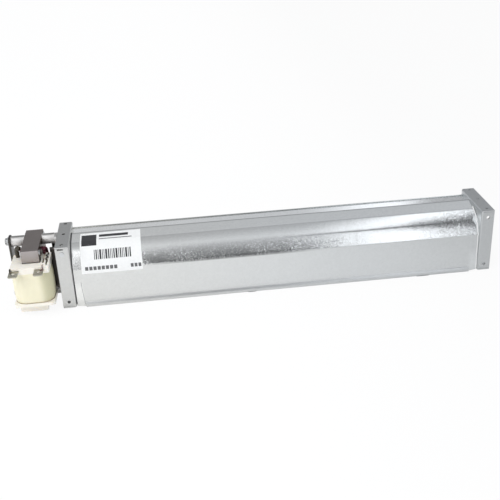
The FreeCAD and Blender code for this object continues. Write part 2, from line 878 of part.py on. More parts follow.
def plate_rivets():
    """The rivets that hold the inner bracket's ears to the plate's side flanges."""
    hole_x = motor_web_x - hole_from_web
    grip = plate_thickness + ear_fit + bracket_thickness
    rivets = []
    for side, wall_y in ((-1, front_y), (1, back_y)):
        stack = [wall_y + side * rivet_head_height, wall_y, wall_y - side * grip,
                 wall_y - side * (grip + rivet_head_height)]
        rods = []
        for radius, ya, yb in zip((rivet_head_radius, rivet_radius, rivet_head_radius), stack, stack[1:]):
            rods.append(rod_y(radius, min(ya, yb), max(ya, yb), hole_x, high_hole_height))
        rivets.append(fuse(rods))
    return Part.makeCompound(rivets)


# Coil, bobbin and terminals

def rounded_block(half_x, half_y, z0, z1, corner):
    block = box(coil_x - half_x, coil_x + half_x, front_y - half_y, front_y + half_y, z0, z1)
    return block.makeFillet(corner, edges_along(block, Vector(0, 0, 1)))


def core_hole(grow):
    half_x = stack_length / 2 + grow
    half_y = core_leg_depth / 2 + grow
    return box(stack_middle - half_x, stack_middle + half_x, front_y - half_y, front_y + half_y,
               stack_bottom, stack_top)


def coil_winding():
    middle_z = (coil_bottom + coil_top) / 2
    half_x = coil_width / 2
    half_y = coil_depth / 2

    def ring(z, inset):
        corner = coil_corner - inset
        block = rounded_block(half_x - inset, half_y - inset, z, z + 1, corner)
        bottom_face = [face for face in block.Faces if abs(face.CenterOfMass.z - z) < 1e-6][0]
        return bottom_face.OuterWire

    rings = [ring(coil_bottom, coil_crown), ring(middle_z, 0), ring(coil_top, coil_crown)]
    return Part.makeLoft(rings, True, False).cut(core_hole(bobbin_fit + bobbin_wall))


def bobbin_block():
    """The thick top flange that carries the terminals, with two grooves for the leads."""
    half_x = coil_width / 2 - block_setback
    half_y = coil_depth / 2 - block_setback
    block_top = window_top - bobbin_fit
    block = rounded_block(half_x, half_y, coil_top, block_top, block_corner)
    groove_middle = (stack_right + coil_x + half_x) / 2
    for step in (-0.5, 0.5):
        x = groove_middle + step * lead_groove_spacing
        groove = box(x - lead_groove_width / 2, x + lead_groove_width / 2,
                     front_y - half_y + lead_groove_front, front_y + half_y,
                     block_top - lead_groove_depth, block_top)
        block = block.cut(groove)
    return block


def bobbin_foot():
    """The lower flange, cut away where the stack's lower yoke passes under the coil."""
    foot_bottom = coil_bottom - foot_flange
    foot = rounded_block(coil_width / 2, coil_depth / 2, foot_bottom, coil_bottom, bobbin_corner)
    back = stack_front - bobbin_fit
    yoke = box(stack_left - bobbin_fit, stack_right + bobbin_fit, back, front_y + coil_depth,
               stack_bottom, coil_bottom - bobbin_flange)
    apron_left = stack_middle - apron_shift - apron_width / 2
    apron_bottom = stack_bottom + apron_above_stack_bottom
    apron = box(apron_left, apron_left + apron_width, back - apron_thickness, back,
                apron_bottom, coil_bottom)
    return foot.cut(yoke).fuse(apron)


def bobbin():
    sleeve = core_hole(bobbin_fit + bobbin_wall).common(
        box(stack_middle - coil_width, stack_middle + coil_width, front_y - coil_depth, front_y + coil_depth,
            coil_bottom - bobbin_flange, coil_top + bobbin_flange))
    body = fuse([sleeve, bobbin_block(), bobbin_foot()]).cut(core_hole(bobbin_fit))
    for side in (-1, 1):
        body = body.cut(terminal(side, terminal_fit))
    return body


def terminal(side, grow):
    x = stack_middle - terminal_shift + side * terminal_spacing / 2
    half = terminal_width / 2 + grow
    z0 = terminal_height - terminal_thickness / 2 - grow
    tip_y = front_y - terminal_tip
    root_y = front_y - terminal_root + grow
    tab = box(x - half, x + half, tip_y, root_y, z0, z0 + terminal_thickness + 2 * grow)
    if grow:
        return tab
    tip_edges = [edge for edge in edges_along(tab, Vector(0, 0, 1)) if edge.CenterOfMass.y < tip_y + 0.01]
    tab = tab.makeChamfer(terminal_chamfer, tip_edges)
    hole_y = tip_y + terminal_hole_from_tip
    return tab.cut(rod_z(terminal_hole_radius, z0, z0 + terminal_thickness, x, hole_y))


def left_terminal():
    return terminal(-1, 0)


def right_terminal():
    return terminal(1, 0)


# Label, wrapped round the bulge

def label():
    x0 = motor_web_x + label_start
    x1 = x0 + label_length
    bulge_start = polar(bulge_y, bulge_height, bulge_radius, bulge_start_angle)
    top_end = along(ridge, bulge_start, label_below_ridge)
    outward = along((0, 0), (bulge_start[1] - top_end[1], top_end[0] - bulge_start[0]), label_thickness)
    crease = polar(bulge_y, bulge_height, bulge_radius + label_thickness, bulge_start_angle)
    top = prism_x([bulge_start, top_end, (top_end[0] + outward[0], top_end[1] + outward[1]),
                   (bulge_start[0] + outward[0], bulge_start[1] + outward[1]), crease], x0, x1)
    wrap = sector_x(bulge_y, bulge_height, bulge_radius, bulge_radius + label_thickness,
                    bulge_start_angle, bulge_end_angle, x0, x1)
    low_y = panel_top_y - panel_lean * (panel_top_z - label_bottom)
    wrap_end = polar(bulge_y, bulge_height, bulge_radius + label_thickness, bulge_end_angle)
    tail = prism_x([(panel_top_y, panel_top_z), wrap_end,
                    (low_y - label_thickness, label_bottom), (low_y, label_bottom)], x0, x1)
    return fuse([top, wrap, tail])


pieces = [
    motor_side_plate, bearing_side_plate, scroll_sheet, tongue_sheet, label, plate_rivets,
    impeller_blades, drive_disc, mid_discs, idle_disc, drive_hub, hub_screw, idle_hub, idle_stub_shaft,
    idle_grommet, idle_bush, motor_shaft, rotor_core, rotor_end_rings, spacer_sleeves,
    stator_c_frame, coil_core, stack_rivets, shading_rings, outer_bearing_bracket, inner_bearing_bracket,
    outer_bearing, inner_bearing, oil_felts, bearing_retainers, outer_posts, inner_posts,
    frame_washers, frame_screws, coil_winding, bobbin, left_terminal, right_terminal,
]

os.makedirs("parts", exist_ok=True)
for piece in pieces:
    piece().exportStep("parts/" + piece.__name__ + ".step")
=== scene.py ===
import json
import math

import bmesh
import bpy
from mathutils import Matrix, Vector, noise


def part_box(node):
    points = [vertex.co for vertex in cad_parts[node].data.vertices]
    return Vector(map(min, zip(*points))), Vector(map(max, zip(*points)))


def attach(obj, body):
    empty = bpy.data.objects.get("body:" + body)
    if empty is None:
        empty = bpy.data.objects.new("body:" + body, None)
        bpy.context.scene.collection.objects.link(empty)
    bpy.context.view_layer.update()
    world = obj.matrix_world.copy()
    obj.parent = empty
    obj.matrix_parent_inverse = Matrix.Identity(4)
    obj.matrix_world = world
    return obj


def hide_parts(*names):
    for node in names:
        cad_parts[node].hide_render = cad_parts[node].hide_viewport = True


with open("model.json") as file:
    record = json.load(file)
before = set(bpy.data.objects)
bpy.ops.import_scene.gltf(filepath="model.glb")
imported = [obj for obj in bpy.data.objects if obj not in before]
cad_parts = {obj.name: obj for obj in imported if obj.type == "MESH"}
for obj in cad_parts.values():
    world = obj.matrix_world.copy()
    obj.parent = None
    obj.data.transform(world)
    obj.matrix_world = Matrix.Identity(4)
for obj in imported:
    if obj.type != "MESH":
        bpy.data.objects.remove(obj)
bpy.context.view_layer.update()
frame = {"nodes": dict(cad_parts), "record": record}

MM = 0.001


def polar(y, z, radius, angle):
    turn = math.radians(angle)
    return (y + radius * math.cos(turn), z + radius * math.sin(turn))


# Sizes that repeat the frame's own, in millimetres
web_half = 148.0
front_y = -22.5
axis_y = -0.9
axis_z = 25.8
sheet_thickness = 0.6
bulge_radius = 23.3
bulge_y = front_y + 24.6
bulge_z = 23.0
bulge_start_angle = 114.4
bulge_end_angle = 168.0
ridge = (front_y + 26.4, 46.2)
rear_edge = (front_y + 42.0, 43.2)
crease = polar(bulge_y, bulge_z, bulge_radius, bulge_start_angle)
panel_top_y, panel_top_z = polar(bulge_y, bulge_z, bulge_radius, bulge_end_angle)
panel_bottom_y = front_y - 0.9
panel_end_y = front_y + 0.6
panel_bottom_z = 0.7
joggle_top = 4.2
joggle_bottom = 6.9
hem_height = 3.4
label_x = -141.4
label_width = 42.9
label_bottom_z = 25.2
label_below_ridge = 2.0
label_thickness = 0.12
impeller_radius = 15.0
blade_count = 24
blade_rim = 0.45
blade_depth = 3.6
blade_sweep = 9.0
blade_bow = 0.9
blade_thickness = 0.4
tongue_radius = 16.6
tongue_top_angle = -22.0
tongue_end_angle = -74.0
tongue_lip = 4.2
tongue_foot_setback = 2.6
tongue_foot_length = 6.0
tongue_foot_height = 0.5

# Camera: where it stands, in metres, and how it is turned, in degrees
camera_place = (-0.07425, -0.54491, 0.29535)
camera_azimuth = 5.73
camera_elevation = 26.513
camera_roll = -2.503
camera_lens = 59.29


# Mesh helpers

def add_mesh(name, verts, faces):
    """A mesh object from points in millimetres, smooth except at sharp edges."""
    mesh = bpy.data.meshes.new(name)
    mesh.from_pydata([Vector(v) * MM for v in verts], [], faces)
    mesh.update()
    obj = bpy.data.objects.new(name, mesh)
    bpy.context.scene.collection.objects.link(obj)
    finish_mesh(obj)
    return obj


def turns_more_than(edge, angle):
    return len(edge.link_faces) == 2 and edge.calc_face_angle(0.0) > math.radians(angle)


def finish_mesh(obj, sharp_angle=35.0):
    """Makes faces smooth and marks the edges that turn more than sharp_angle."""
    bm = bmesh.new()
    bm.from_mesh(obj.data)
    bmesh.ops.recalc_face_normals(bm, faces=bm.faces)
    for face in bm.faces:
        face.smooth = True
    for edge in bm.edges:
        edge.smooth = not turns_more_than(edge, sharp_angle)
    bm.to_mesh(obj.data)
    bm.free()


def dressed_copy(node, bevel, material):
    """A copy of a CAD node's mesh with its hard edges rounded, shown in its place."""
    mesh = frame["nodes"][node].data.copy()
    mesh.materials.clear()
    obj = bpy.data.objects.new(node + "_finished", mesh)
    bpy.context.scene.collection.objects.link(obj)
    bm = bmesh.new()
    bm.from_mesh(mesh)
    bmesh.ops.remove_doubles(bm, verts=bm.verts, dist=2e-6)
    bmesh.ops.dissolve_limit(bm, angle_limit=math.radians(0.5), verts=bm.verts, edges=bm.edges)
    hard = [edge for edge in bm.edges if turns_more_than(edge, 50.0)]
    bmesh.ops.bevel(bm, geom=hard, offset=bevel * MM, segments=2, profile=0.5, affect="EDGES",
                    clamp_overlap=True, loop_slide=True)
    bm.to_mesh(mesh)
    bm.free()
    finish_mesh(obj, 32.0)
    flat_faces = obj.modifiers.new("flat_faces", "WEIGHTED_NORMAL")
    flat_faces.keep_sharp = True
    flat_faces.weight = 90
    mesh.materials.append(material)
    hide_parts(node)
    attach(obj, body_of_node(node))


def body_of_node(node):
    for body, members in frame["record"]["behaviour"]["bodies"].items():
        if node in members:
            return body
    return "housing"


def slot_of(node):
    for row in frame["record"]["subparts"]:
        if row["node"] == node:
            return row["material_slot"]
    return None


def place(obj, material, stands_for=(), body="housing"):
    """Gives a piece its material, its body and the CAD nodes that it is shown instead of."""
    obj.data.materials.append(material)
    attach(obj, body)
    if stands_for:
        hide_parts(*stands_for)


def between(a, b, share):
    return a + (b - a) * share


def ease(share):
    return share * share * (3 - 2 * share)


def line_points(start, end, count):
    """Points from start towards end, without the last one."""
    shares = [i / count for i in range(count)]
    return [(between(start[0], end[0], share), between(start[1], end[1], share)) for share in shares]


def bend_points(before, corner, after, size, count=6):
    """A small rounded bend in place of a corner."""
    def step(target):
        length = math.hypot(target[0] - corner[0], target[1] - corner[1])
        return (corner[0] + (target[0] - corner[0]) * size / length,
                corner[1] + (target[1] - corner[1]) * size / length)
    a = step(before)
    b = step(after)
    points = []
    for i in range(count + 1):
        t = i / count
        points.append(tuple(
            (1 - t) ** 2 * a[k] + 2 * t * (1 - t) * corner[k] + t * t * b[k] for k in (0, 1)))
    return points


def arc_points(y, z, radius, angle0, angle1, count):
    return [polar(y, z, radius, between(angle0, angle1, i / count)) for i in range(count + 1)]


def spaced(start, end, count):
    return [between(start, end, i / count) for i in range(count + 1)]


def side_normals(points):
    """The left-hand normal at each point of a profile."""
    normals = []
    for i in range(len(points)):
        a = points[max(i - 1, 0)]
        b = points[min(i + 1, len(points) - 1)]
        dy, dz = b[0] - a[0], b[1] - a[1]
        length = math.hypot(dy, dz) or 1.0
        normals.append((-dz / length, dy / length))
    return normals


def ring_faces(rings, count):
    """Faces of a tube made of rings with count points each, with a cap on each end."""
    faces = []
    for i in range(rings - 1):
        for j in range(count):
            k = (j + 1) % count
            faces.append((i * count + j, i * count + k, (i + 1) * count + k, (i + 1) * count + j))
    last = (rings - 1) * count
    return faces + [tuple(reversed(range(count))), tuple(last + j for j in range(count))]


def closed_prism(name, outline, stations):
    """A solid swept along X from a closed (y, z) outline."""
    verts = [(x, y, z) for x in stations for y, z in outline]
    return add_mesh(name, verts, ring_faces(len(stations), len(outline)))


def swept_sheet(name, stations, profile_at, thickness, ripple=0.0):
    """A sheet whose outer face follows profile_at(x), thickened to its left."""
    verts = []
    count = len(profile_at(stations[0]))
    for x in stations:
        outer = profile_at(x)
        normals = side_normals(outer)
        for side in (0.0, thickness):
            for (y, z), (ny, nz) in zip(outer, normals):
                wave = ripple * noise.noise(Vector((x / 23.0, y / 17.0, z / 17.0))) if ripple else 0.0
                verts.append((x, y + ny * (side + wave), z + nz * (side + wave)))
    faces = []
    row = 2 * count
    for i in range(len(stations) - 1):
        for j in range(count - 1):
            a = i * row + j
            faces.append((a, a + 1, a + row + 1, a + row))
            b = a + count
            faces.append((b, b + row, b + row + 1, b + 1))
        for j in (0, count - 1):
            a = i * row + j
            faces.append((a, a + row, a + row + count, a + count))
    for i in (0, len(stations) - 1):
        for j in range(count - 1):
            a = i * row + j
            faces.append((a, a + count, a + count + 1, a + 1))
    return add_mesh(name, verts, faces)


def lathe(name, profile, y, z, segments=64):
    """Turns a closed profile of (x, radius) points about an axis along X."""
    verts = []
    for i in range(segments):
        turn = 2 * math.pi * i / segments
        for x, radius in profile:
            verts.append((x, y + radius * math.cos(turn), z + radius * math.sin(turn)))
    count = len(profile)
    faces = []
    for i in range(segments):
        other = (i + 1) % segments
        for j in range(count):
            k = (j + 1) % count
            faces.append((i * count + j, i * count + k, other * count + k, other * count + j))
    return add_mesh(name, verts, faces)


def rounded_tube_profile(x0, x1, outer, inner, edge):
    """A closed profile for lathe(): a tube with chamfered outer rims."""
    return [(x0, inner), (x0, outer - edge), (x0 + edge * 0.3, outer - edge * 0.3), (x0 + edge, outer),
            (x1 - edge, outer), (x1 - edge * 0.3, outer - edge * 0.3), (x1, outer - edge), (x1, inner)]


def wire_tube(name, points, radius, segments=12):
    """A round wire along a line of (x, y, z) points."""
    path = [Vector(point) for point in points]
    verts = []
    across = None
    for i, point in enumerate(path):
        ahead = (path[min(i + 1, len(path) - 1)] - path[max(i - 1, 0)]).normalized()
        if across is None:
            across = ahead.orthogonal().normalized()
        across = (across - ahead * across.dot(ahead)).normalized()
        other = ahead.cross(across)
        for j in range(segments):
            turn = 2 * math.pi * j / segments
            verts.append(tuple(point + (across * math.cos(turn) + other * math.sin(turn)) * radius))
    return add_mesh(name, verts, ring_faces(len(path), segments))


def curve_through(corners, steps=8):
    """A smooth line through a few (x, y, z) corners."""
    points = []
    ends = [corners[0]] + list(corners) + [corners[-1]]
    for i in range(1, len(ends) - 2):
        a, b, c, d = (Vector(ends[i + k]) for k in (-1, 0, 1, 2))
        for step in range(steps):
            t = step / steps
            points.append(0.5 * (2 * b + (c - a) * t + (2 * a - 5 * b + 4 * c - d) * t ** 2
                                 + (3 * b - a - 3 * c + d) * t ** 3))
    points.append(Vector(corners[-1]))
    return [tuple(point) for point in points]


def join(name, objects):
    """One object from several."""
    verts = []
    faces = []
    for obj in objects:
        start = len(verts)
        verts += [v.co / MM for v in obj.data.vertices]
        faces += [tuple(start + i for i in p.vertices) for p in obj.data.polygons]
        bpy.data.objects.remove(obj)
    return add_mesh(name, verts, faces)


# Shading

class ShaderGraph:
    """The nodes of a material or of the world, with short ways to add and join them."""

    def __init__(self, tree):
        self.nodes = tree.nodes
        self.links = tree.links

    def feed(self, value, socket):
        """Sets a socket to a plain value, or joins another node's output to it."""
        if isinstance(value, bpy.types.NodeSocket):
            self.links.new(value, socket)
        else:
            socket.default_value = value

    def surface(self, inputs):
        """Feeds the named inputs of the material's shader."""
        for name, value in inputs.items():
            self.feed(value, self.nodes["Principled BSDF"].inputs[name])

    def object_coordinates(self, stretch=(1, 1, 1)):
        coordinates = self.nodes.new("ShaderNodeTexCoord")
        mapping = self.nodes.new("ShaderNodeMapping")
        mapping.inputs["Scale"].default_value = stretch
        self.feed(coordinates.outputs["Object"], mapping.inputs["Vector"])
        return mapping.outputs["Vector"]

    def geometry(self, name):
        return self.nodes.new("ShaderNodeNewGeometry").outputs[name]

    def parts(self, vector):
        """The X, Y and Z parts of a vector."""
        node = self.nodes.new("ShaderNodeSeparateXYZ")
        self.feed(vector, node.inputs["Vector"])
        return tuple(node.outputs)

    def noise(self, vector, scale, detail=4.0):
        texture = self.nodes.new("ShaderNodeTexNoise")
        texture.inputs["Scale"].default_value = scale
        texture.inputs["Detail"].default_value = detail
        texture.inputs["Roughness"].default_value = 0.55
        self.feed(vector, texture.inputs["Vector"])
        return texture.outputs["Fac"]

    def cells(self, vector, scale):
        """A random colour for each cell of a Voronoi pattern."""
        texture = self.nodes.new("ShaderNodeTexVoronoi")
        texture.inputs["Scale"].default_value = scale
        self.feed(vector, texture.inputs["Vector"])
        return texture.outputs["Color"]

    def ramp(self, value, stops):
        node = self.nodes.new("ShaderNodeValToRGB")
        elements = node.color_ramp.elements
        while len(elements) < len(stops):
            elements.new(0.5)
        for element, (position, colour) in zip(elements, stops):
            element.position = position
            element.color = (*colour, 1.0)
        self.feed(value, node.inputs["Fac"])
        return node.outputs["Color"]

    def levels(self, value, *stops):
        """A ramp of plain greys, from pairs of position and level."""
        return self.ramp(value, [(position, (level,) * 3) for position, level in stops])

    def to_range(self, value, low, high, from_low=0.0, from_high=1.0):
        node = self.nodes.new("ShaderNodeMapRange")
        node.inputs["From Min"].default_value = from_low
        node.inputs["From Max"].default_value = from_high
        node.inputs["To Min"].default_value = low
        node.inputs["To Max"].default_value = high
        self.feed(value, node.inputs["Value"])
        return node.outputs["Result"]

    def rise(self, value, low, high):
        """0 below low and 1 above high, with a smooth step between."""
        node = self.nodes.new("ShaderNodeMapRange")
        node.interpolation_type = "SMOOTHSTEP"
        node.inputs["From Min"].default_value = low
        node.inputs["From Max"].default_value = high
        self.feed(value, node.inputs["Value"])
        return node.outputs["Result"]

    def fall(self, value, low, high):
        """1 below low and 0 above high, with a smooth step between."""
        return self.math("SUBTRACT", 1.0, self.rise(value, low, high))

    def band(self, value, rising, falling):
        """1 between the rising and the falling stretch of a value, 0 outside them."""
        return self.times(self.rise(value, *rising), self.fall(value, *falling))

    def math(self, operation, *values):
        node = self.nodes.new("ShaderNodeMath")
        node.operation = operation
        for value, socket in zip(values, node.inputs):
            self.feed(value, socket)
        return node.outputs["Value"]

    def times(self, a, b):
        return self.math("MULTIPLY", a, b)

    def line(self, value, slope, start):
        return self.math("MULTIPLY_ADD", value, slope, start)

    def vector_math(self, operation, a, b=None):
        node = self.nodes.new("ShaderNodeVectorMath")
        node.operation = operation
        self.feed(a, node.inputs[0])
        if b is not None:
            self.feed(b, node.inputs["Scale" if operation == "SCALE" else 1])
        return node.outputs["Vector"]

    def mixed(self, share, a, b, data_type="RGBA", blend_type="MIX"):
        """Goes over from a to b as share goes from 0 to 1. A share that multiplies can go past 1."""
        node = self.nodes.new("ShaderNodeMix")
        node.data_type = data_type
        node.blend_type = blend_type
        node.clamp_factor = blend_type == "MIX"
        self.feed(share, node.inputs["Factor"])
        for name, value in (("A", a), ("B", b)):
            self.feed((*value, 1.0) if isinstance(value, tuple) else value, node.inputs[name])
        return node.outputs["Result"]

    def bump(self, height, strength, distance, normal=None):
        node = self.nodes.new("ShaderNodeBump")
        node.inputs["Strength"].default_value = strength
        node.inputs["Distance"].default_value = distance
        self.feed(height, node.inputs["Height"])
        if normal:
            self.feed(normal, node.inputs["Normal"])
        return node.outputs["Normal"]


def new_material(name):
    material = bpy.data.materials.new(name)
    material.use_nodes = True
    return material, ShaderGraph(material.node_tree)


def galvanised_steel(name, light, roughness, unevenness, relief, tilt=0.0):
    """Hot-dip galvanised sheet: fine spangle, faint rolling streaks and handling marks.

    Where the sheet is drawn round the bulge, tilt turns the grains of the spangle apart, and the sheet gets
    painted shade and painted highlights.
    """
    warm_grey = (0.998, 1.0, 0.968)
    cool_grey = (0.977, 1.0, 0.998)
    relief_depth = 0.0002
    material, graph = new_material(name)
    vector = graph.object_coordinates()
    along, _, height = graph.parts(vector)
    brightness, level, _ = graph.parts(graph.cells(vector, 820.0))
    colour = graph.levels(brightness, (0.0, light * 0.98), (1.0, light * 1.02))
    hue = graph.ramp(graph.rise(along, -0.16, 0.08), [(0.0, warm_grey), (1.0, cool_grey)])
    colour = graph.vector_math("MULTIPLY", colour, hue)
    streaks = graph.noise(graph.object_coordinates((0.12, 1.0, 1.0)), 260.0, 3.0)
    marks = graph.times(streaks, graph.noise(vector, 42.0))
    facets = None
    if tilt:
        # painted shade and painted highlights scale the sheet's colour
        colour = graph.vector_math("SCALE", colour, painted_light_on_sheet(graph, along, height))
        facets = tilted_grains(graph, vector, along, height, tilt)
    spangle = graph.bump(level, 0.7 * relief, relief_depth, facets)
    graph.surface({
        "Base Color": colour, "Metallic": 1.0,
        "Roughness": graph.to_range(marks, roughness - unevenness, roughness + 2.4 * unevenness),
        "Normal": graph.bump(graph.noise(vector, 1900.0, 2.0), relief, relief_depth, spangle)})
    return material


def painted_light_on_sheet(graph, along, height):
    """How bright the sheet is painted: painted shade at the bulge's foot and along the hem, painted
    highlights on its lower corners.

    Heights and places along X are in metres.
    """
    # painted shade low on the bulge, just above its fold into the panel
    foot_of_bulge = graph.band(height, (0.0270, 0.0278), (0.0288, 0.0312))
    foot_shade = graph.times(foot_of_bulge, graph.band(along, (-0.105, -0.060), (-0.005, 0.035)))
    # painted shade along the hem, next to the floor
    hem = graph.times(graph.fall(height, 0.0036, 0.0062), graph.fall(along, 0.02, 0.08))
    # painted highlights on the panel's lower corners
    left_highlight = graph.times(graph.fall(along, -0.1427, -0.1417), graph.fall(height, 0.012, 0.022))
    right_highlight = graph.times(graph.rise(along, 0.1390, 0.1440), graph.fall(height, 0.010, 0.020))
    keep = graph.times(graph.line(foot_shade, -0.42, 1.0), graph.line(hem, -0.10, 1.0))
    keep = graph.line(left_highlight, 0.19, keep)
    return graph.line(right_highlight, 0.13, keep)


def tilted_grains(graph, vector, along, height, tilt):
    """Normals that differ from grain to grain, most of all low on the bulge and in patches."""
    least_tilt = 0.012
    half_length = 0.15
    centred = graph.vector_math("SUBTRACT", graph.cells(vector, 2300.0), (0.5, 0.5, 0.5))
    lowered = graph.line(graph.rise(along, 0.085, 0.115), -0.0065, height)
    low_on_bulge = graph.times(graph.fall(lowered, 0.0345, 0.0405), graph.rise(height, 0.0262, 0.0285))
    patches = graph.rise(graph.noise(vector, 46.0, 3.0), 0.22, 0.56)
    share = graph.levels(graph.to_range(along, 0.0, 1.0, -half_length, half_length),
                         (0.11, 0.06), (0.17, 1.0), (0.36, 0.80), (0.52, 0.52),
                         (0.66, 0.10), (0.84, 0.10), (0.93, 0.28))
    amount = graph.times(graph.times(low_on_bulge, patches), share)
    turned = graph.vector_math("SCALE", centred, graph.line(amount, tilt, least_tilt))
    return graph.vector_math("NORMALIZE", graph.vector_math("ADD", graph.geometry("Normal"), turned))


def brushed_metal(name, colour, roughness=0.32, metallic=1.0):
    wear = 0.08
    material, graph = new_material(name)
    grain = graph.noise(graph.object_coordinates((0.25, 1.0, 1.0)), 900.0)
    dark = tuple(c * (1 - wear) for c in colour)
    pale = tuple(c * (1 + wear) for c in colour)
    graph.surface({
        "Base Color": graph.ramp(grain, [(0.3, dark), (0.7, pale)]), "Metallic": metallic,
        "Roughness": graph.to_range(grain, roughness - 0.08, roughness + 0.12),
        "Normal": graph.bump(grain, 0.08, 0.0001)})
    return material


def steel_with_painted_shade_by_height(name, upper_tone, front_light_and_lower_tone, low, high):
    """Bright strip steel in two tones by height, one of them painted shade: the lower tone below the height
    low, the upper tone above high.
    """
    material, graph = new_material(name)
    vector = graph.object_coordinates()
    mottle = graph.noise(vector, 500.0)
    height = graph.parts(vector)[2]
    shade_mix = graph.rise(graph.line(mottle, 0.006, height), low, high)
    graph.surface({
        "Base Color": graph.mixed(shade_mix, front_light_and_lower_tone, upper_tone), "Metallic": 1.0,
        "Roughness": graph.to_range(mottle, 0.30, 0.45),
        "Normal": graph.bump(mottle, 0.08, 0.0001)})
    return material


def zinc_with_painted_dark_top(name):
    """Plated zinc with painted shade along its upper side."""
    material, graph = new_material(name)
    mottle = graph.noise(graph.object_coordinates((0.25, 1.0, 1.0)), 700.0)
    upward = graph.parts(graph.geometry("Normal"))[2]
    # painted shade on faces that look up
    shade_mix = graph.rise(graph.line(mottle, 0.08, upward), 0.88, 1.01)
    graph.surface({
        "Base Color": graph.mixed(shade_mix, (0.665, 0.648, 0.625), (0.21, 0.205, 0.195)),
        "Metallic": 0.5, "Roughness": graph.to_range(mottle, 0.30, 0.44)})
    return material


def laminated_steel(name):
    """The punched edges of a stack of thin sheets, stacked along X, with painted shade on its faces."""
    material, graph = new_material(name)
    vector = graph.object_coordinates()
    layers = graph.nodes.new("ShaderNodeTexWave")
    layers.wave_type = "BANDS"
    layers.bands_direction = "X"
    layers.inputs["Scale"].default_value = 320.0
    layers.inputs["Distortion"].default_value = 0.6
    layers.inputs["Detail"].default_value = 2.0
    graph.feed(vector, layers.inputs["Vector"])
    stain = graph.noise(vector, 160.0)
    steel = graph.mixed(stain, (0.600, 0.560, 0.560), (0.740, 0.700, 0.700))
    # painted shade multiplies the steel's colour on the top, the front and the sides
    shaded_steel = graph.mixed(painted_shade_share(graph, vector), steel, (0.400, 0.375, 0.350), blend_type="MULTIPLY")
    graph.surface({
        "Base Color": shaded_steel, "Metallic": 1.0,
        "Roughness": graph.to_range(stain, 0.30, 0.44),
        "Normal": graph.bump(layers.outputs["Fac"], 0.35, 0.00012)})
    return material


def painted_shade_share(graph, vector):
    """The share of painted shade on a face: all of it on top, most in front, extra on the sides."""
    sideways, back, _ = graph.parts(graph.geometry("True Normal"))
    height = graph.parts(vector)[2]
    # the front keeps more painted light higher up
    front_light_and_lower_tone = graph.line(graph.rise(height, 0.037, 0.0495), 0.10, 0.27)
    in_front = graph.rise(graph.times(back, -1.0), 0.5, 0.9)
    on_side = graph.rise(graph.math("ABSOLUTE", sideways), 0.5, 0.9)
    shade_mix = graph.math("SUBTRACT", 1.0, graph.times(front_light_and_lower_tone, in_front))
    return graph.line(on_side, 0.53, shade_mix)


def coil_tape(name):
    """Cream tape over the winding, with a fibrous, soft sheen and painted shade on its right side."""
    material, graph = new_material(name)
    vector = graph.object_coordinates((1.0, 1.0, 0.6))
    fibres = graph.noise(vector, 240.0)
    unshaded_tape = graph.ramp(fibres, [(0.25, (0.785, 0.740, 0.550)), (0.75, (0.825, 0.780, 0.590))])
    # painted shade on the right side, next to the plate
    shade_at_right = graph.rise(graph.parts(vector)[0], -0.1710, -0.1645)
    graph.surface({
        "Base Color": graph.mixed(shade_at_right, unshaded_tape, (0.75, 0.76, 0.69), blend_type="MULTIPLY"),
        "Roughness": graph.to_range(fibres, 0.42, 0.60),
        "Subsurface Weight": 0.15, "Subsurface Radius": (0.002, 0.0015, 0.001),
        "Normal": graph.bump(fibres, 0.06, 0.0002)})
    return material


def moulded_plastic(name, colour, roughness=0.45, scatter=0.25):
    material, graph = new_material(name)
    vector = graph.object_coordinates()
    mottle = graph.noise(vector, 180.0)
    dark = tuple(c * 0.94 for c in colour)
    graph.surface({
        "Base Color": graph.ramp(mottle, [(0.3, dark), (0.7, colour)]),
        "Roughness": graph.to_range(mottle, roughness - 0.08, roughness + 0.10),
        "Subsurface Weight": scatter, "Subsurface Radius": (0.002, 0.0016, 0.0012),
        "Normal": graph.bump(graph.noise(vector, 1500.0, 2.0), 0.10, 0.0001)})
    return material


def label_paper(name):
    material, graph = new_material(name)
    fibre = graph.noise(graph.object_coordinates(), 700.0)
    graph.surface({
        "Base Color": graph.ramp(fibre, [(0.3, (0.78, 0.785, 0.77)), (0.7, (0.82, 0.82, 0.805))]),
        "Roughness": graph.to_range(fibre, 0.34, 0.46),
        "Normal": graph.bump(fibre, 0.05, 0.0001)})
    return material


def ink(name, colour):
    material, graph = new_material(name)
    speckle = graph.noise(graph.object_coordinates(), 2600.0, 2.0)
    pale = tuple(c * 1.8 + 0.02 for c in colour)
    graph.surface({
        "Base Color": graph.ramp(speckle, [(0.45, colour), (0.85, pale)]),
        "Roughness": graph.to_range(speckle, 0.35, 0.50)})
    return material


def rubber(name):
    material, graph = new_material(name)
    dust = graph.noise(graph.object_coordinates(), 500.0)
    graph.surface({
        "Base Color": graph.ramp(dust, [(0.4, (0.020, 0.020, 0.021)), (0.9, (0.060, 0.058, 0.055))]),
        "Roughness": graph.to_range(dust, 0.55, 0.80),
        "Normal": graph.bump(dust, 0.2, 0.0001)})
    return material


# Materials

galvanised = galvanised_steel("galvanised_sheet", light=0.68, roughness=0.13, unevenness=0.04,
                              relief=0.07, tilt=0.155)
plate_steel = galvanised_steel("galvanised_plate", light=0.605, roughness=0.28, unevenness=0.006,
                               relief=0.05)
cut_edge = brushed_metal("cut_edge", (0.36, 0.365, 0.37), 0.34)
aluminium = brushed_metal("rolled_aluminium", (0.78, 0.79, 0.80), 0.30)
turned_steel = brushed_metal("turned_steel", (0.60, 0.60, 0.60), 0.24)
# bracket_steel is dark grey as a painted shade
bracket_steel = brushed_metal("bracket_steel", (0.15, 0.145, 0.14), 0.30)
# painted shade: the outer bracket is dark above, where it stands in shadow
outer_bracket_steel = steel_with_painted_shade_by_height("outer_bracket_steel", (0.075, 0.070, 0.063),
                                       (0.46, 0.455, 0.44), 0.022, 0.038)
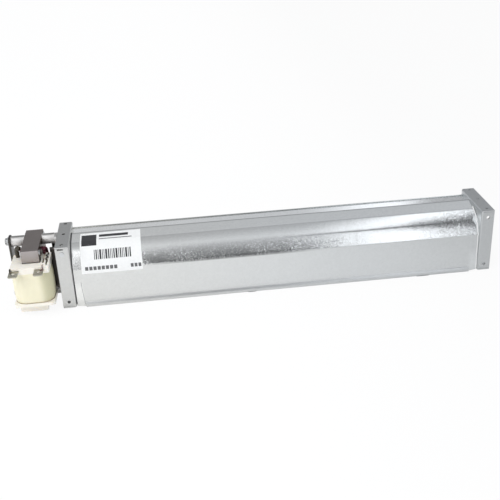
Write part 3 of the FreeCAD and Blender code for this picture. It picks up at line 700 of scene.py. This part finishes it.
# painted shade: the inner bracket is dark below its top, where it stands in shadow
inner_bracket_steel = steel_with_painted_shade_by_height("inner_bracket_steel", (0.58, 0.57, 0.55),
                                       (0.13, 0.12, 0.11), 0.043, 0.046)
# posts: plated zinc with painted shade along the top
plated_zinc = zinc_with_painted_dark_top("plated_zinc")
screw_steel = brushed_metal("screw_steel", (0.42, 0.42, 0.41), 0.26)
# rotor end rings: aluminium darkened to a painted shade
painted_shade_aluminium = brushed_metal("cast_aluminium", (0.22, 0.22, 0.225), 0.45)
rivet_steel = brushed_metal("rivet_steel", (0.62, 0.63, 0.63), 0.34)
dark_steel = brushed_metal("dark_steel", (0.10, 0.10, 0.105), 0.35)
bronze = brushed_metal("sintered_bronze", (0.50, 0.34, 0.18), 0.48)
# enamelled copper: the wire's own red, darkened by painted shade
copper = brushed_metal("enamelled_copper", (0.115, 0.018, 0.034), 0.30, 0.35)
tinned = brushed_metal("tinned_brass", (0.50, 0.485, 0.40), 0.38)
laminations = laminated_steel("laminations")
tape = coil_tape("coil_tape")
nylon = moulded_plastic("natural_nylon", (0.87, 0.83, 0.74))
felt = moulded_plastic("oiled_felt", (0.30, 0.25, 0.18), 0.85, 0.0)
oiled_sleeve = moulded_plastic("oiled_sleeving", (0.040, 0.033, 0.020), 0.50, 0.0)
adhesive = moulded_plastic("tape_adhesive", (0.34, 0.25, 0.15), 0.45, 0.0)
white_oxide = moulded_plastic("white_oxide", (0.84, 0.84, 0.82), 0.60, 0.0)
paper = label_paper("label_paper")
black_ink = ink("black_ink", (0.018, 0.018, 0.020))
grey_ink = ink("grey_ink", (0.10, 0.10, 0.10))
black_rubber = rubber("black_rubber")

slot_materials = {
    "galvanised": plate_steel, "label_paper": paper, "zinc_rivet": rivet_steel,
    "blade_aluminium": aluminium, "turned_steel": turned_steel, "dark_screw": dark_steel,
    "black_rubber": black_rubber, "sintered_bronze": bronze, "lamination_steel": laminations,
    "natural_plastic": nylon,
    "enamelled_copper": copper, "bracket_steel": bracket_steel, "post_zinc": plated_zinc,
    "screw_steel": screw_steel, "felt": felt, "coil_tape": tape, "tinned_brass": tinned,
}


# Scroll sheet

# In the points of scroll_profile, the first one of the ridge and the last one of the band
ridge_point = 9
band_end_point = 20


def end_stations():
    """Stations along X, close together where the panel is joggled at each end."""
    end = 10.0
    near = spaced(-web_half, -web_half + end, 20)
    far = spaced(web_half - end, web_half, 20)
    middle = spaced(-web_half + end, web_half - end, 110)
    return near[:-1] + middle + far[1:]


def panel_y(x, z):
    """Where the front panel's outer face lies at a station and height."""
    share = (panel_top_z - z) / (panel_top_z - panel_bottom_z)
    middle = between(panel_top_y, panel_bottom_y, share)
    end = between(panel_top_y, panel_end_y, share)
    reach = between(joggle_top, joggle_bottom, share)
    distance = web_half - abs(x)
    lift = min(max(distance / reach, 0.0), 1.0)
    soft = between(lift, ease(lift), 0.15)
    return between(end, middle, soft)


def scroll_profile(x):
    """The sheet's outer face at a station: roof, ridge, band, crease, bulge, crease, panel."""
    ridge_size = 1.1
    crease_size = 0.45
    bulge_rows = 54
    panel_rows = 18
    arc_start = bulge_start_angle + 1.6
    arc_end = bulge_end_angle - 1.6
    first_arc = polar(bulge_y, bulge_z, bulge_radius, bulge_start_angle + 4)
    last_arc = polar(bulge_y, bulge_z, bulge_radius, bulge_end_angle - 4)
    fold = (panel_y(x, panel_top_z), panel_top_z)
    below = (panel_y(x, panel_top_z - 4), panel_top_z - 4)
    ridge_bend = bend_points(rear_edge, ridge, crease, ridge_size)
    crease_bend = bend_points(ridge, crease, first_arc, crease_size)
    fold_bend = bend_points(last_arc, fold, below, crease_size)
    lip = (rear_edge[0] - 0.2, rear_edge[1] + 0.4)
    points = [lip] + line_points(rear_edge, ridge_bend[0], ridge_point - 1)
    points += ridge_bend
    points += line_points(ridge_bend[-1], crease_bend[0], 6)[1:]
    points += crease_bend
    points += arc_points(bulge_y, bulge_z, bulge_radius, arc_start, arc_end, bulge_rows)
    points += fold_bend
    for i in range(1, panel_rows + 1):
        z = between(fold_bend[-1][1], panel_bottom_z, i / panel_rows)
        points.append((panel_y(x, z), z))
    return points


def make_scroll():
    sheet = swept_sheet("scroll_skin", end_stations(), scroll_profile, sheet_thickness, 0.05)
    place(sheet, galvanised, ("scroll_sheet",))
    half = web_half - joggle_bottom
    fold = closed_prism("hem_fold", hem_outline(), spaced(-half, half, 80))
    place(fold, plate_steel)


def make_sheet_edges():
    """The sheet's sheared right end, a painted shadow along its left end, its left corner's crease and two
    lips of its hem.

    The right end is white with oxide and a little ragged, and the left one is a dark line of painted
    shadow.
    """
    right_x = web_half - 0.75
    raggedness = 0.35
    ragged_end = [(right_x + raggedness * noise.noise(Vector((0.0, z / 2.3, 4.0))), y, z)
                  for y, z in scroll_profile(web_half - 0.2)[band_end_point:]]
    place(wire_tube("sheared_end", ragged_end, 0.38, 8), white_oxide)
    # painted shadow: a dark line along the sheet's left end, against the plate
    left_x = -web_half + 0.36
    shadow_line = [(left_x, y, z) for y, z in scroll_profile(-web_half + 0.3)[ridge_point:-1]]
    place(wire_tube("painted_shadow_left_end", shadow_line, 0.34, 8), dark_steel)
    top_x, top_z, foot_z = -142.9, 19.5, 2.2
    lean = 1.3
    steps = 16
    corner_fold = []
    for step in range(steps + 1):
        z = between(top_z, foot_z, step / steps)
        x = top_x + lean * (step / steps) ** 1.6
        corner_fold.append((x, panel_y(x, z) + 0.02, z))
    place(wire_tube("corner_crease", corner_fold, 0.17, 8), cut_edge)
    front = panel_bottom_y - sheet_thickness
    for name, x0, x1 in (("hem_lip_left", -25.0, -18.0), ("hem_lip_right", 101.0, 111.5)):
        lip = curve_through([(x0, front + 0.5, 0.5), (x0 + 1.2, front, 0.32), (x1 - 1.8, front, 0.34),
                             (x1, front + 0.5, 0.5)])
        place(wire_tube(name, lip, 0.24, 8), cut_edge)


def hem_outline():
    """The hem's closed section: a flap folded back up against the panel."""
    lean = (panel_top_y - panel_bottom_y) / (panel_top_z - panel_bottom_z)
    top_z = panel_bottom_z + hem_height
    top_y = panel_bottom_y + lean * hem_height
    fold = arc_points(panel_bottom_y, panel_bottom_z, sheet_thickness, 360, 180, 12)
    slant = 0.85
    overlap = 0.1
    return fold + [(top_y - sheet_thickness, top_z - slant), (top_y + overlap, top_z)]


# Label: a sticker that wraps from below the ridge over the bulge, with plain print

band_length = math.hypot(crease[0] - ridge[0], crease[1] - ridge[1])
bulge_length = math.radians(bulge_end_angle - bulge_start_angle) * bulge_radius
label_on_band = band_length - label_below_ridge
label_length = label_on_band + bulge_length + panel_top_z - label_bottom_z


def label_path(distance):
    """The point and outward normal at a distance down from the label's top edge."""
    if distance <= label_on_band:
        along_y = (crease[0] - ridge[0]) / band_length
        along_z = (crease[1] - ridge[1]) / band_length
        reach = label_below_ridge + distance
        return (ridge[0] + along_y * reach, ridge[1] + along_z * reach), (along_z, -along_y)
    if distance <= label_on_band + bulge_length:
        angle = bulge_start_angle + math.degrees((distance - label_on_band) / bulge_radius)
        return polar(bulge_y, bulge_z, bulge_radius, angle), polar(0, 0, 1, angle)
    panel_normal = (-0.995, 0.1)
    z = panel_top_z - (distance - label_on_band - bulge_length)
    return (panel_y(label_x + label_width / 2, z), z), panel_normal


def label_patch(name, u0, u1, s0, s1, lift, thickness, columns=2):
    """A thin patch that lies on the label's path, u across and s down, in millimetres."""
    rows = max(2, int(abs(s1 - s0) / 0.6))
    verts = []
    for level in (lift, lift + thickness):
        for i in range(rows + 1):
            point, normal = label_path(between(s0, s1, i / rows))
            for j in range(columns + 1):
                x = label_x + between(u0, u1, j / columns)
                verts.append((x, point[0] + normal[0] * level, point[1] + normal[1] * level))
    return add_mesh(name, verts, slab_faces(rows, columns))


def slab_faces(rows, columns):
    faces = []
    width = columns + 1
    layer = (rows + 1) * width
    for i in range(rows):
        for j in range(columns):
            a = i * width + j
            faces.append((a, a + 1, a + width + 1, a + width))
            b = a + layer
            faces.append((b, b + width, b + width + 1, b + 1))
    for j in range(columns):
        for row in (0, rows):
            a = row * width + j
            faces.append((a, a + layer, a + layer + 1, a + 1))
    for i in range(rows):
        for column in (0, columns):
            a = i * width + column
            faces.append((a, a + width, a + width + layer, a + layer))
    return faces


def make_label():
    sticker = label_patch("label_skin", 0, label_width, 0, label_length, 0.02, label_thickness, 12)
    place(sticker, paper, ("label",))
    top = label_thickness + 0.022
    print_thickness = 0.01

    def bars(name, rows, material):
        """Bars of print, each from u0 to u1 across and from s0 to s1 down, in millimetres."""
        pieces = []
        for number, (u0, u1, s0, s1) in enumerate(rows):
            pieces.append(label_patch(f"{name}_{number}", u0, u1, s0, s1, top, print_thickness))
        place(join(name, pieces), material)

    bars("print_emblem", [(1.0, 11.6, 2.4, 13.8)], black_ink)
    bars("print_headline", [(13.4, 34.0, 2.6, 5.6)], black_ink)
    bars("print_subline", [(13.4, 36.6, 7.4, 8.4)], grey_ink)
    widths = (0.5, 0.9, 0.5, 1.3, 0.5, 0.5, 1.3, 0.9, 0.5, 0.5, 0.9, 1.3, 0.5, 0.9, 0.5, 0.5, 1.3, 0.5, 0.9)
    gap = 0.62
    u = 9.6
    code = []
    for width in widths:
        code.append((u, u + width, 17.2, 24.2))
        u += width + gap
    bars("print_code", code, black_ink)

    def blocks(name, start, width, step, count):
        row_top, row_foot = 29.0, 31.6
        rows = [(start + step * i, start + width + step * i, row_top, row_foot) for i in range(count)]
        bars(name, rows, grey_ink)

    blocks("print_date", 2.6, 2.2, 2.9, 8)
    blocks("print_batch", 34.6, 2.0, 2.7, 3)


# Motor pieces

def make_posts():
    bore = 1.6
    chamfer = 0.35
    for node in ("outer_posts", "inner_posts"):
        low, high = (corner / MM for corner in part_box(node))
        radius = (high.y - low.y) / 2
        posts = []
        for z in (high.z - radius, low.z + radius):
            profile = rounded_tube_profile(low.x, high.x, radius, bore, chamfer)
            posts.append(lathe(node + "_post", profile, axis_y, z))
        place(join(node + "_turned", posts), plated_zinc, (node,))


def rounded_rectangle(half_x, half_y, corner, steps=10):
    """Points a little over 1 mm apart along a rounded rectangle about the origin."""
    least_gap = 1.2
    points = []
    for sx, sy, start in ((1, 1, 0), (-1, 1, 90), (-1, -1, 180), (1, -1, 270)):
        cx, cy = sx * (half_x - corner), sy * (half_y - corner)
        for i in range(steps + 1):
            turn = math.radians(start + 90 * i / steps)
            points.append((cx + corner * math.cos(turn), cy + corner * math.sin(turn)))
    dense = []
    for i, point in enumerate(points):
        after = points[(i + 1) % len(points)]
        gap = math.hypot(after[0] - point[0], after[1] - point[1])
        dense += line_points(point, after, max(1, int(gap / least_gap)))
    return dense


def make_coil():
    """The taped winding: a soft drum, slightly fuller in the middle."""
    low, high = (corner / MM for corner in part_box("coil_winding"))
    centre_x = (low.x + high.x) / 2
    centre_y = (low.y + high.y) / 2
    skin = 0.1
    half_x = (high.x - low.x) / 2 - skin
    half_y = (high.y - low.y) / 2 - skin
    corner = 8.4
    most_crown = 0.75
    unevenness = 0.08
    rows = 48
    verts = []
    for i in range(rows + 1):
        share = i / rows
        z = between(low.z, high.z, share)
        crown = most_crown * (2 * share - 1) ** 4
        for x, y in rounded_rectangle(half_x - crown, half_y - crown, corner - crown):
            rough = unevenness * noise.noise(Vector((x / 9.0, y / 9.0, z / 14.0)))
            keep = 1 - (skin - rough) / math.hypot(x, y)
            verts.append((centre_x + x * keep, centre_y + y * keep, z))
    count = len(verts) // (rows + 1)
    coil = add_mesh("coil_wrapped", verts, ring_faces(rows + 1, count))
    place(coil, tape, ("coil_winding",))


def make_tape_edge():
    """The last turn of tape: a thin brown edge where the winding meets the bobbin's flange."""
    low, high = (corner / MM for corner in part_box("coil_winding"))
    centre_x = (low.x + high.x) / 2
    centre_y = (low.y + high.y) / 2
    inset = 0.75
    corner = 7.7
    above_flange = 0.25
    outline = rounded_rectangle((high.x - low.x) / 2 - inset, (high.y - low.y) / 2 - inset, corner)
    outline.append(outline[0])
    turn = [(centre_x + x, centre_y + y, low.z + above_flange) for x, y in outline]
    place(wire_tube("tape_edge", turn, 0.18, 8), adhesive)


def make_leads():
    """The winding's two ends: sleeved where they leave the coil, bare where they reach the tabs."""
    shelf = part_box("bobbin")[1].z / MM
    left_sleeve = curve_through([
        (-184.0, -15.0, shelf + 0.2), (-184.2, -15.6, 43.6), (-184.1, -16.4, 46.4),
        (-183.0, -17.6, 48.3), (-181.4, -18.4, 48.0)])
    place(wire_tube("lead_sleeve_left", left_sleeve, 1.55), oiled_sleeve)
    right_sleeve = curve_through([
        (-166.4, -12.2, shelf + 0.2), (-166.2, -12.6, 42.0), (-166.3, -13.6, 44.2)])
    place(wire_tube("lead_sleeve_right", right_sleeve, 1.2), copper)
    loop = curve_through([
        (-165.9, -20.0, shelf - 0.5), (-165.9, -30.0, shelf - 0.2), (-165.7, -34.0, shelf + 0.6),
        (-165.4, -35.2, 39.0), (-166.4, -35.3, 38.6), (-167.2, -35.6, 38.75)])
    place(wire_tube("lead_wire_right", loop, 0.26, 8), copper)
    second = curve_through([
        (-163.5, -12.0, shelf - 0.5), (-163.0, -15.0, shelf + 0.5), (-164.4, -17.5, shelf + 0.6),
        (-162.9, -20.0, shelf + 0.5), (-164.2, -22.5, shelf + 0.5), (-163.0, -25.5, shelf + 0.3),
        (-163.5, -28.0, shelf + 0.2), (-163.2, -31.0, shelf + 0.15)])
    place(wire_tube("lead_wire_second", second, 0.42, 8), oiled_sleeve)
    joint = curve_through([
        (-187.2, -33.6, shelf + 0.1), (-187.4, -34.6, shelf - 0.4), (-187.2, -35.0, 38.8)])
    place(wire_tube("lead_joint_left", joint, 0.55, 10), oiled_sleeve)


# Impeller

def blade_outline():
    """One blade's section about the impeller's axis, as a closed (y, z) outline."""
    outer_radius = impeller_radius - blade_rim
    start = polar(0, 0, outer_radius - blade_depth, 0)
    end = polar(0, 0, outer_radius, blade_sweep)
    dy, dz = end[0] - start[0], end[1] - start[1]
    chord = math.hypot(dy, dz)
    across = (dz / chord, -dy / chord)
    outline = []
    steps = 10
    for side in (1, -1):
        order = range(steps + 1) if side > 0 else reversed(range(steps + 1))
        for i in order:
            t = i / steps
            rise = blade_bow * 4 * t * (1 - t) + side * blade_thickness / 2
            outline.append((start[0] + dy * t + across[0] * rise, start[1] + dz * t + across[1] * rise))
    return outline


def make_blades():
    low, high = (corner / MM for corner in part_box("impeller_blades"))
    blades = []
    outline = blade_outline()
    for number in range(blade_count):
        turn = math.radians(number * 360 / blade_count)
        c, s = math.cos(turn), math.sin(turn)
        spun = [(axis_y + y * c - z * s, axis_z + y * s + z * c) for y, z in outline]
        blades.append(closed_prism(f"blade_{number}", spun, spaced(low.x, high.x, 6)))
    place(join("blades_rolled", blades), aluminium, ("impeller_blades",), "rotor")


def tongue_profile(_):
    """The tongue's face towards the impeller, the same at each station: lip, curl, drop and foot."""
    bend_size = 0.7
    arc_start = tongue_top_angle - 2
    arc_end = tongue_end_angle + 2
    top = polar(axis_y, axis_z, tongue_radius, tongue_top_angle)
    lip = polar(top[0], top[1], tongue_lip, tongue_top_angle)
    end = polar(axis_y, axis_z, tongue_radius, tongue_end_angle)
    foot = (end[0] + tongue_foot_setback, tongue_foot_height)
    heel = (foot[0] + tongue_foot_length, tongue_foot_height)
    points = line_points(lip, top, 4)
    points += arc_points(axis_y, axis_z, tongue_radius, arc_start, arc_end, 24)
    points += line_points(end, foot, 8)[1:]
    points += bend_points(end, foot, heel, bend_size)
    return points + line_points(points[-1], heel, 4)[1:] + [heel]


def make_tongue():
    sheet = swept_sheet("tongue_skin", spaced(-web_half, web_half, 60), tongue_profile, sheet_thickness)
    place(sheet, galvanised, ("tongue_sheet",))


# Stage, light and camera

# The light tent: the height of the strip's seam, in radians up from the horizon in front, the
# stretch where the low strip behind ends to the right, as the X part of a direction, and the
# stretch where the low back wall begins, as a share of the half turn from front to back
seam_pitch = 0.925
far_right = (0.268, 0.306)
low_behind = (0.90, 0.96)


def floor_material():
    """Pale floor: near white to the camera, dimmer in reflections, with part of its shading kept and a
    painted shade that darkens it to the right.
    """
    seen_share = 0.92
    mirrored_share = 0.218
    material, graph = new_material("studio_floor")
    # painted shade: the floor's colour falls off towards the right
    painted_falloff = graph.rise(graph.parts(graph.object_coordinates())[0], -0.16, 0.22)
    graph.surface({
        "Base Color": graph.levels(painted_falloff, (0.0, 1.0), (0.4, 0.93), (0.8, 0.80), (1.0, 0.65)),
        "Roughness": 1.0, "Specular IOR Level": 0.0})
    path = graph.nodes.new("ShaderNodeLightPath")
    mirrored = graph.math("ADD", path.outputs["Is Glossy Ray"], path.outputs["Is Transmission Ray"])
    share = graph.line(mirrored, mirrored_share, graph.times(path.outputs["Is Camera Ray"], seen_share))
    glow = graph.nodes.new("ShaderNodeEmission")
    glow.inputs["Strength"].default_value = 1.0
    mix = graph.nodes.new("ShaderNodeMixShader")
    graph.feed(share, mix.inputs["Fac"])
    graph.feed(graph.nodes["Principled BSDF"].outputs["BSDF"], mix.inputs[1])
    graph.feed(glow.outputs["Emission"], mix.inputs[2])
    graph.feed(mix.outputs["Shader"], graph.nodes["Material Output"].inputs["Surface"])
    return material


def bright_strip(graph, side, pitch, share):
    """The strip of light to the right, which leans out above the seam and comes back low behind."""
    above = graph.math("MAXIMUM", graph.math("SUBTRACT", pitch, seam_pitch), 0.0)
    left_edge = graph.rise(graph.line(above, -0.060, side), 0.15, 0.24)
    right_edge = graph.fall(graph.line(above, -0.015, side), 0.300, 0.366)
    in_front = graph.times(graph.times(left_edge, right_edge), graph.fall(share, 0.54, 0.60))
    behind = graph.times(graph.band(side, (0.15, 0.25), far_right), graph.rise(share, *low_behind))
    return graph.line(behind, 0.58, in_front)


def dim_gap(graph, side, pitch):
    """The gap along the seam of the strip, which widens to the right and ends before the end wall."""
    widening = graph.math("MAXIMUM", graph.math("SUBTRACT", side, 0.265), 0.0)
    half_width = graph.line(widening, 5.3, 0.042)
    apart = graph.math("ABSOLUTE", graph.math("SUBTRACT", pitch, seam_pitch))
    gap = graph.fall(graph.math("DIVIDE", apart, half_width), 0.7, 1.5)
    return graph.times(gap, graph.band(side, (0.12, 0.22), (0.37, 0.44)))


def make_world():
    """A light tent: grey walls, a bright strip to the right of the fan and a dim gap in front."""
    strip_level = 1.95
    far_left_level = 1.45
    end_wall_level = 0.82
    cool_light = (0.938, 0.958, 1.0)
    white = (1.0, 1.0, 1.0)
    world = bpy.data.worlds.new("studio")
    bpy.context.scene.world = world
    world.use_nodes = True
    graph = ShaderGraph(world.node_tree)
    side, back, up = graph.parts(graph.nodes.new("ShaderNodeTexCoord").outputs["Generated"])
    pitch = graph.math("ARCTAN2", up, graph.times(back, -1.0))
    share = graph.math("DIVIDE", pitch, math.pi)
    wall = graph.levels(share, (0.0, 0.18), (0.13, 0.29), (0.23, 0.50), (0.31, 0.80), (0.36, 0.92),
                        (0.50, 0.66), (0.60, 0.56), (0.75, 0.76), (0.83, 0.42), (0.89, 0.30),
                        (0.95, 0.70), (1.0, 0.80))
    level = graph.mixed(bright_strip(graph, side, pitch, share), wall, strip_level, "FLOAT")
    dim_end = graph.times(graph.rise(side, *far_right), graph.rise(share, *low_behind))
    keep = graph.times(graph.line(dim_gap(graph, side, pitch), -0.92, 1.0), graph.line(dim_end, -0.36, 1.0))
    far_left = graph.times(graph.fall(side, -0.16, -0.08), graph.fall(share, 0.34, 0.46))
    level = graph.line(far_left, far_left_level, graph.times(level, keep))
    end_walls = graph.rise(graph.math("ABSOLUTE", side), 0.39, 0.50)
    level = graph.mixed(end_walls, level, end_wall_level, "FLOAT")
    path = graph.nodes.new("ShaderNodeLightPath")
    seen = graph.math("ADD", path.outputs["Is Camera Ray"], path.outputs["Is Transmission Ray"])
    seen = graph.line(path.outputs["Is Glossy Ray"], 0.04, seen)
    background = graph.nodes["Background"]
    graph.feed(graph.mixed(seen, level, 1.0, "FLOAT"), background.inputs["Strength"])
    graph.feed(graph.ramp(seen, [(0.0, cool_light), (1.0, white)]), background.inputs["Color"])


def make_stage():
    half = 4000.0
    verts = [(-half, -half, 0), (half, -half, 0), (half, half, 0), (-half, half, 0)]
    floor = add_mesh("studio_floor", verts, [(0, 1, 2, 3)])
    floor.data.materials.append(floor_material())
    make_world()


def area_light(name, location, target, size, energy):
    data = bpy.data.lights.new(name, "AREA")
    data.shape = "RECTANGLE"
    data.size, data.size_y = size
    data.energy = energy
    obj = bpy.data.objects.new(name, data)
    obj.location = location
    direction = Vector(target) - Vector(location)
    obj.rotation_euler = direction.to_track_quat("-Z", "Y").to_euler()
    obj.visible_glossy = False
    bpy.context.scene.collection.objects.link(obj)


def make_lights():
    area_light("main_light", (-0.75, -0.6, 0.85), (-0.12, 0, 0), (0.8, 0.6), 5.0)
    area_light("overhead_light", (0.0, 0.2, 1.7), (0, 0, 0), (1.6, 1.2), 2.5)


def make_camera():
    data = bpy.data.cameras.new("camera")
    data.sensor_width = 36.0
    data.lens = camera_lens
    camera = bpy.data.objects.new("camera", data)
    azimuth = math.radians(camera_azimuth)
    elevation = math.radians(camera_elevation)
    forward = Vector((math.sin(azimuth) * math.cos(elevation), math.cos(azimuth) * math.cos(elevation),
                      -math.sin(elevation)))
    level = Vector((math.cos(azimuth), -math.sin(azimuth), 0))
    upright = level.cross(forward)
    roll = math.radians(camera_roll)
    right = level * math.cos(roll) + upright * math.sin(roll)
    up = right.cross(forward)
    turn = Matrix((right, up, -forward)).transposed()
    camera.matrix_world = Matrix.Translation(camera_place) @ turn.to_4x4()
    bpy.context.scene.collection.objects.link(camera)
    bpy.context.scene.camera = camera


make_camera()
make_stage()
make_lights()

for node in ("motor_side_plate", "bearing_side_plate"):
    dressed_copy(node, 0.12, plate_steel)
for node in ("stator_c_frame", "coil_core"):
    dressed_copy(node, 0.2, laminations)
dressed_copy("bobbin", 0.25, nylon)
for node in ("left_terminal", "right_terminal"):
    dressed_copy(node, 0.12, tinned)
dressed_copy("outer_bearing_bracket", 0.2, outer_bracket_steel)
dressed_copy("inner_bearing_bracket", 0.2, inner_bracket_steel)
make_scroll()
make_label()
make_posts()
make_coil()
make_tape_edge()
make_leads()
make_sheet_edges()
make_blades()
make_tongue()

for node, obj in frame["nodes"].items():
    # the rotor end rings get aluminium darkened to a painted shade
    material = painted_shade_aluminium if node == "rotor_end_rings" else slot_materials[slot_of(node)]
    obj.data.materials.clear()
    obj.data.materials.append(material)

bpy.context.scene.view_settings.view_transform = "Standard"
